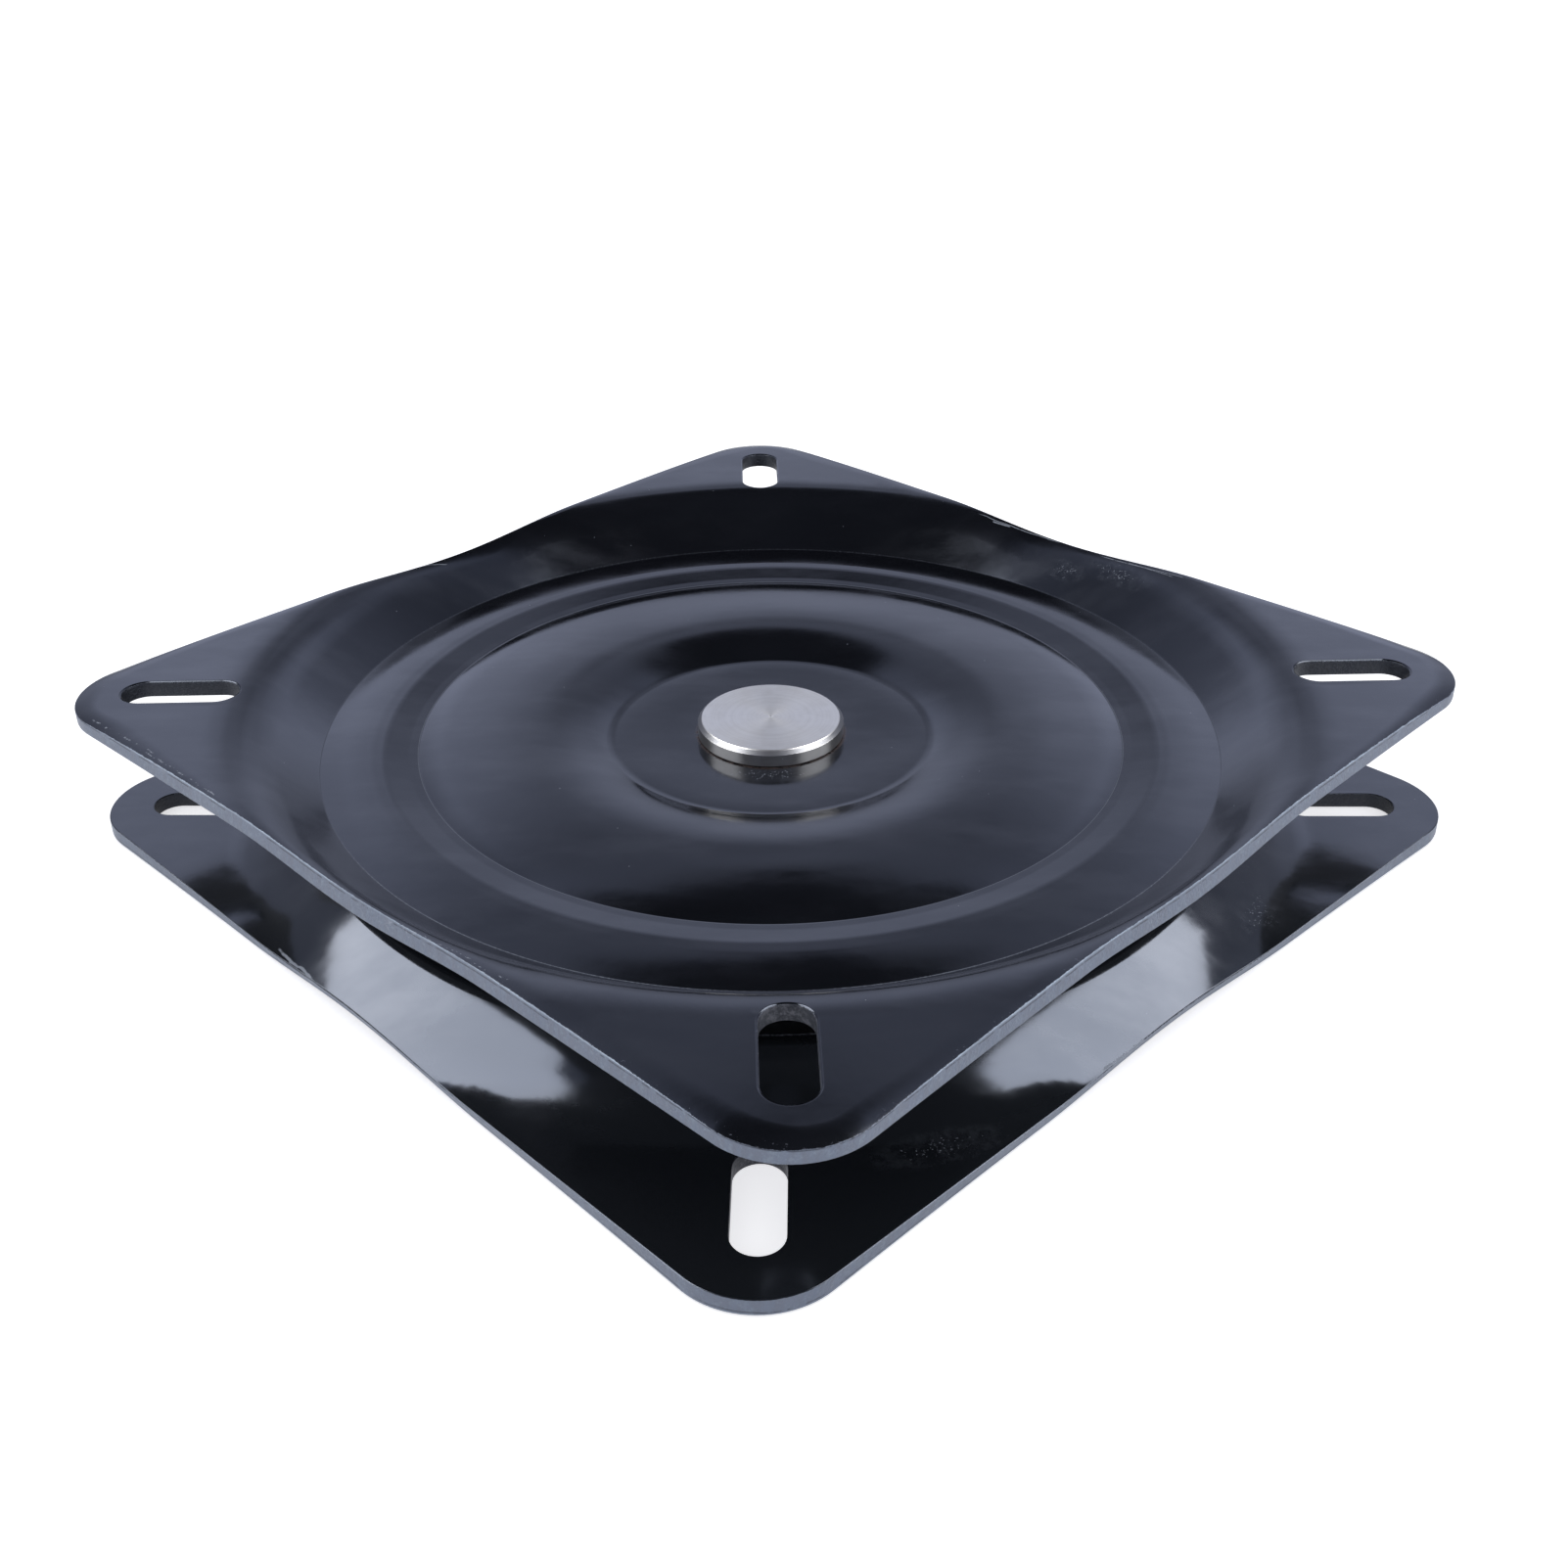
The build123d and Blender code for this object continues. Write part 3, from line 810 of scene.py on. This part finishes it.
def enamel(name, base, scuffs, scratches, swell):
    """Glossy black enamel over pressed steel, worn at the sheared edges, with painted highlights, shade
    and light.
    """
    material, w, shader = new_material(
        name, IOR=1.5, Specular_Tint=(0.80, 0.86, 1.0), Coat_Roughness=0.2)
    place = w.place()
    edge = w.attribute("edge")
    punched = w.attribute("punched")
    skin = w.group(SKIN, {"Ripple": 4.0, "Swell": swell})
    bands = w.group(EDGE, {"Edge": edge, "Depth": w.attribute("depth"), "Wander": 0.15})
    dust = w.group(DUST, {"Spacing": 4.0, "Size": 0.13, "Share": 0.3})
    outer_wall = w.math("MULTIPLY", bands["Wall"], w.math("SUBTRACT", 1.0, punched))
    slot_wall = w.math("MULTIPLY", bands["Wall"], punched)
    pits = w.noise(place, 1.1, 4.0, 0.7)
    streaks = w.ease(w.noise(w.vector("MULTIPLY", place, (1.0, 1.0, 0.25)), 1.0, 3.0), 0.35, 0.65)
    # The outer wall: its own streaks and pits, a pale worn lip with a painted highlight, and a dark line
    # of painted groove shade
    wall = w.mix(w.math("MULTIPLY", streaks, 0.45), DULL_WALL, CHIPPED)
    wall = w.mix(w.math("MULTIPLY", w.ease(pits, 0.5, 0.68), 0.4), wall, SCRAPED)
    wall = w.mix(bands["Lip"], wall, WORN_LIP_AND_HIGHLIGHT)
    wall = w.mix(w.math("MULTIPLY", bands["Line"], 0.9), wall, PAINTED_GROOVE_SHADE)
    colour = w.mix(w.math("MULTIPLY", bands["Chips"], 0.6), base, CHIPPED)
    colour = w.mix(outer_wall, colour, wall)
    # Painted light: the pits in the slot walls are paler and bluer towards the front
    along = w.coordinate(place, "Y")
    painted_light_to_front = w.ease(along, -80.0, -100.0, 0.02, 0.1)
    inputs = {"Red": painted_light_to_front, "Green": painted_light_to_front, "Blue": w.math("MULTIPLY", painted_light_to_front, PAINTED_LIGHT_BLUE)}
    slot_wall_with_painted_light = w.mix(w.ease(pits, 0.42, 0.7), SLOT_CRUST, w.add("CombineColor", inputs).outputs[0])
    colour = w.mix(slot_wall, colour, slot_wall_with_painted_light)

    # Dust, scuffs and scratches, each pale, a painted highlight with specks along the coined line,
    # strongest where it faces the front, and a faint painted highlight along the crease
    radius = w.from_axis(place)
    grains = w.noise(place, 0.5, 3.0, 0.75)
    film = w.noise(place, 2.0, 5.0, 0.7)
    sway = w.noise(place, 5.0, 3.0, 0.6)
    gaps = w.noise(place, 1.3, 3.0, 0.7)
    front_highlight_specks = w.ease(grains, 0.42, 0.66, 0.35, 1.0)
    front_highlight_specks = w.math("MULTIPLY", front_highlight_specks, w.ease(along, -30.0, -75.0, 0.1, 1.0))
    coin_line_specks_and_highlight = w.math("MULTIPLY", w.band(radius, COIN_R + 0.05, 0.3), front_highlight_specks)
    crease_highlight = w.math("MULTIPLY", w.band(radius, CREASE_R + 0.2, 0.15), 0.3)
    marks = w.math("MAXIMUM", w.math("MULTIPLY", coin_line_specks_and_highlight, 0.9), crease_highlight)
    marks = w.math("MAXIMUM", dust["Specks"], marks)
    for centre, length, width, heading in scuffs:
        inputs = {"Centre": centre, "Length": length, "Width": width, "Heading": heading,
                  "Specks": grains, "Film": film}
        marks = w.math("MAXIMUM", marks, w.group(SCUFF, inputs)["Mark"])
    for start, end, width, wander, broken in scratches:
        inputs = {"From": start, "To": end, "Width": width, "Wander": wander, "Broken": broken,
                  "Sway": sway, "Gaps": gaps}
        marks = w.math("MAXIMUM", marks, w.group(SCRATCH, inputs)["Line"])
    colour = w.mix(w.math("MULTIPLY", marks, 0.55), colour, DUST_AND_HIGHLIGHT_COLOUR)
    grime = w.math("MULTIPLY", w.band(radius, PIN_HEAD_R + 0.1, 0.8), w.ease(pits, 0.38, 0.5))
    colour = w.mix(grime, colour, GRIME)
    w.feed(shader["Base Color"], colour)

    dull = w.math("MAXIMUM", w.math("MULTIPLY", bands["Wall"], 0.42), w.math("MULTIPLY", marks, 0.5))
    dull = w.math("MAXIMUM", dull, w.math("MULTIPLY", grime, 0.4))
    gloss = w.math("MULTIPLY_ADD", skin["Smears"], 0.08, 0.1)
    w.feed(shader["Roughness"], w.math("ADD", gloss, dull))
    w.feed(shader["Coat Weight"], w.math("MULTIPLY", skin["Smears"], 0.2))
    torn = w.math("MULTIPLY", w.noise(place, 0.5, 2.0), w.ease(edge, 0.5, 0.9))
    torn_bump = w.bump(torn, 0.15)
    w.feed(torn_bump.node.inputs["Normal"], w.bump(skin["Height"], 0.01))
    w.feed(shader["Normal"], torn_bump)
    return material


def turned_steel():
    """Bright turned steel of the pin, with ring marks, small handling marks, and painted shade on the
    head's side and chamfer.
    """
    material, w, shader = new_material("turned_steel", Metallic=1.0, Anisotropic=0.5)
    place = w.place()
    rings = w.group(TURNING, {"Pitch": 0.1})
    dust = w.group(DUST, {"Spacing": 2.2, "Size": 0.12, "Share": 0.3})
    tone = w.ease(rings["Tone"], 0.35, 0.65)
    colour = w.mix(tone, TURNED_DARK, TURNED_PALE)
    drop = w.math("SUBTRACT", PIN_TOP, w.coordinate(place, "Z"))
    below_top = w.ease(drop, 0.12, 0.2)
    chamfer = w.math("MULTIPLY", below_top, w.ease(drop, PIN_CHAMFER, PIN_CHAMFER - 0.1))
    # Painted shade: the head's side and chamfer are darkened
    colour = w.mix(below_top, colour, HEAD_SIDE_PAINTED_SHADE)
    colour = w.mix(chamfer, colour, HEAD_CHAMFER_PAINTED_SHADE)
    colour = w.mix(w.math("MULTIPLY", dust["Specks"], 0.6), colour, HEAD_SPECK)
    w.feed(shader["Base Color"], colour)
    rougher_middle = w.ease(w.from_axis(place), 7.0, 0.0, 0.36, 0.42)
    dull = w.math("ADD", rougher_middle, w.math("MULTIPLY", chamfer, 0.1))
    w.feed(shader["Roughness"], w.math("MULTIPLY_ADD", tone, -0.06, dull))
    along_marks = w.vector("CROSS_PRODUCT", (0.0, 0.0, 1.0), place)
    facing = w.add("NewGeometry").outputs["Normal"]
    w.feed(shader["Tangent"], w.vector("NORMALIZE", w.vector("CROSS_PRODUCT", facing, along_marks)))
    w.feed(shader["Normal"], w.bump(rings["Height"], 0.0012))
    return material


def plated_steel():
    """Zinc plate of the bearing cup, with a faint spangle."""
    material, w, shader = new_material("plated_steel", Metallic=1.0)
    spangle = w.noise(w.place(), 2.4, 5.0, 0.65)
    rings = w.group(TURNING, {"Pitch": 0.5})
    w.feed(shader["Base Color"], w.mix(w.ease(spangle, 0.35, 0.68), ZINC_DARK, ZINC_PALE))
    w.feed(shader["Roughness"], w.ease(spangle, 0.3, 0.75, 0.28, 0.46))
    w.feed(shader["Normal"], w.bump(rings["Height"], 0.01))
    return material


def cage_nylon():
    """Black moulded nylon of the ball cage, with a trace of grease."""
    material, w, shader = new_material("cage_nylon")
    dust = w.group(DUST, {"Spacing": 3.0, "Size": 0.2, "Share": 0.3})
    place = w.place()
    greasy = w.ease(w.noise(place, 6.0, 4.0), 0.45, 0.62)
    colour = w.mix(w.math("MULTIPLY", greasy, 0.6), NYLON, GREASED_NYLON)
    w.feed(shader["Base Color"], w.mix(dust["Specks"], colour, NYLON_DUST))
    w.feed(shader["Roughness"], w.math("MULTIPLY_ADD", greasy, -0.3, 0.52))
    w.feed(shader["Normal"], w.bump(w.noise(place, 0.4, 2.0), 0.02))
    return material


def ball_steel():
    """Polished bearing steel with a thin uneven film of grease."""
    material, w, shader = new_material("ball_steel", Metallic=1.0)
    film = w.ease(w.noise(w.place(), 1.8, 4.0), 0.42, 0.66)
    w.feed(shader["Base Color"], w.mix(film, BALL, GREASED_BALL))
    w.feed(shader["Roughness"], w.math("MULTIPLY_ADD", film, 0.16, 0.07))
    return material


# Pieces

UPPER_PLACE = Matrix.Translation((0, 0, HEIGHT)) @ Matrix.Rotation(REST_TURN, 4, "Z")
LOWER_PLACE = Matrix.Rotation(math.pi, 4, "X")
upper_finish = enamel("black_enamel_upper", UPPER_ENAMEL, UPPER_SCUFFS, UPPER_SCRATCHES, 0.0)
lower_finish = enamel("black_enamel_lower", LOWER_ENAMEL_PAINTED_LIGHTER, LOWER_SCUFFS, LOWER_SCRATCHES, 6.0)
upper_shape = pressed_plate(*UPPER_SHEAR)
place_plate(upper_shape, "pressed_upper_plate", "top", "upper_plate", upper_finish, UPPER_PLACE)
lower_shape = pressed_plate(*LOWER_SHEAR)
place_plate(lower_shape, "pressed_lower_plate", "base", "lower_plate", lower_finish, LOWER_PLACE)
centre_pin(turned_steel())

node_finishes = {"bearing_cup": plated_steel(), "ball_cage": cage_nylon()}
balls = ball_steel()
for name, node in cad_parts.items():
    if name in ("upper_plate", "lower_plate", "centre_pin"):
        continue
    node.data.materials.clear()
    node.data.materials.append(node_finishes.get(name, balls))


# Floor, light and camera

# Lengths of the floor and the soft lights are in metres
FLOOR_REACH = 4.0
FLOOR_GAP = 0.0001        # keeps the floor off the lower wings, which lie on it
FLOOR_WHITE = (0.8, 0.8, 0.82)
FLOOR_GLOW = 0.66
GLOW_WHITE = (0.98, 0.98, 1.0)
# Brightness of the surroundings from below to above, and from the middle to the sides
GLOW_BY_RISE = [
    (0.0, 0.9), (0.36, 0.9), (0.43, 0.78), (0.50, 0.6), (0.53, 0.56), (0.58, 0.7),
    (0.625, 0.68), (0.64, 0.42), (0.652, 0.18), (0.672, 0.06), (0.75, 0.04), (1.0, 0.1),
]
GLOW_BY_SIDE = [(0.0, 0.45), (0.15, 0.43), (0.33, 0.65), (0.46, 0.4), (0.66, 0.25), (1.0, 0.2)]
MIRRORED_TINT = (0.88, 0.96, 1.27)
FILL_LIGHT = (0.85, 0.86, 0.88)
SOFTBOX_SIZE = (0.335, 0.60)
SOFTBOX_PLACE = (0.30, -0.0625, 0.405)
SOFTBOX_TILT = 0.22
SOFTBOX_LEVEL = 8.0
SOFTBOX_TINT = (0.96, 0.99, 1.05)


def white_table():
    """Pale floor, with its own light where it is seen or mirrored, so that it stays white."""
    mesh = bpy.data.meshes.new("studio_floor")
    bm = bmesh.new()
    lowered = Matrix.Translation((0, 0, -FLOOR_GAP))
    bmesh.ops.create_grid(bm, x_segments=1, y_segments=1, size=FLOOR_REACH, matrix=lowered)
    bm.to_mesh(mesh)
    bm.free()
    floor = bpy.data.objects.new("studio_floor", mesh)
    bpy.context.scene.collection.objects.link(floor)
    material, w, shader = new_material("white_table", Roughness=0.9, Specular_IOR_Level=0.0)
    w.feed(shader["Base Color"], FLOOR_WHITE)
    w.feed(shader["Emission Color"], GLOW_WHITE)
    path = w.add("LightPath").outputs
    mirrored = w.math("MAXIMUM", path["Is Camera Ray"], path["Is Glossy Ray"])
    w.feed(shader["Emission Strength"], w.math("MULTIPLY", mirrored, FLOOR_GLOW))
    mesh.materials.append(material)


def studio():
    """Bright low down behind the object, dark overhead, plain white where the camera sees it."""
    world = bpy.data.worlds.new("studio")
    bpy.context.scene.world = world
    world.use_nodes = True
    world.node_tree.nodes.clear()
    w = Wiring(world.node_tree)
    heading = w.add("TexCoord").outputs["Generated"]
    up = w.coordinate(heading, "Z")
    aside = w.math("ABSOLUTE", w.coordinate(heading, "X"))
    rise = w.math("MULTIPLY_ADD", w.math("MINIMUM", aside, 0.4), -0.6, up)
    glow = w.math("MULTIPLY", w.levels(rise, GLOW_BY_RISE), w.ease(up, -0.05, 0.3, 0.4, 1.0))
    to_sides = w.math("MULTIPLY", w.levels(aside, GLOW_BY_SIDE), 2.0)
    mirrored = w.vector("SCALE", MIRRORED_TINT)
    w.feed(mirrored.node.inputs["Scale"], w.math("MULTIPLY", glow, to_sides))
    path = w.add("LightPath").outputs
    seen = w.mix(path["Is Diffuse Ray"], mirrored, FILL_LIGHT)
    seen = w.mix(path["Is Camera Ray"], seen, (1, 1, 1))
    background = w.add("Background", {"Color": seen})
    w.feed(w.add("OutputWorld").inputs["Surface"], background.outputs[0])


def softbox(name, side):
    """A low soft light beside the object, seen in the gloss only."""
    light = bpy.data.lights.new(name, "AREA")
    light.shape = "RECTANGLE"
    light.size, light.size_y = SOFTBOX_SIZE
    light.color = SOFTBOX_TINT
    light.energy = SOFTBOX_LEVEL * math.pi * light.size * light.size_y
    lamp = bpy.data.objects.new(name, light)
    place = Vector((side * SOFTBOX_PLACE[0], SOFTBOX_PLACE[1], SOFTBOX_PLACE[2]))
    facing = Vector((-side, 0, 0)).to_track_quat("-Z", "Y").to_matrix().to_4x4()
    tilt = Matrix.Rotation(-side * SOFTBOX_TILT, 4, "Z")
    lamp.matrix_world = Matrix.Translation(place) @ facing @ tilt
    lamp.visible_camera = False
    lamp.visible_diffuse = False
    bpy.context.scene.collection.objects.link(lamp)


# Camera as fitted to the photograph, with lengths in millimetres
FOCAL_PX = 1867.9
PHOTO_PX = 1602
SENSOR = 36.0
CAMERA_UP = math.radians(30.499)
CAMERA_TURN = math.radians(0.8106)
CAMERA_ROLL = math.radians(0.3714)
CAMERA_AWAY = 361.922
CAMERA_SHIFT = (2.58, -20.468)


def camera():
    """The camera that sees the object as the photograph shows it."""
    data = bpy.data.cameras.new("camera")
    data.sensor_width = SENSOR
    data.lens = FOCAL_PX / PHOTO_PX * SENSOR
    data.clip_start = 0.01
    right = Vector((1, 0, 0))
    up = Vector((0, math.sin(CAMERA_UP), math.cos(CAMERA_UP)))
    back = Vector((0, -math.cos(CAMERA_UP), math.sin(CAMERA_UP)))
    place = back * CAMERA_AWAY + right * CAMERA_SHIFT[0] + up * CAMERA_SHIFT[1]
    x_axis = math.cos(CAMERA_ROLL) * right - math.sin(CAMERA_ROLL) * up
    y_axis = math.sin(CAMERA_ROLL) * right + math.cos(CAMERA_ROLL) * up
    axes = Matrix((x_axis, y_axis, back)).transposed().to_4x4()
    turn = Matrix.Rotation(CAMERA_TURN, 4, "Z")
    piece = bpy.data.objects.new("camera", data)
    piece.matrix_world = Matrix.Translation((turn @ place + Vector((0, 0, HEIGHT))) * MM) @ turn @ axes
    bpy.context.scene.collection.objects.link(piece)
    bpy.context.scene.camera = piece


white_table()
studio()
softbox("left_softbox", -1)
softbox("right_softbox", 1)
camera()
bpy.context.scene.view_settings.view_transform = "Standard"
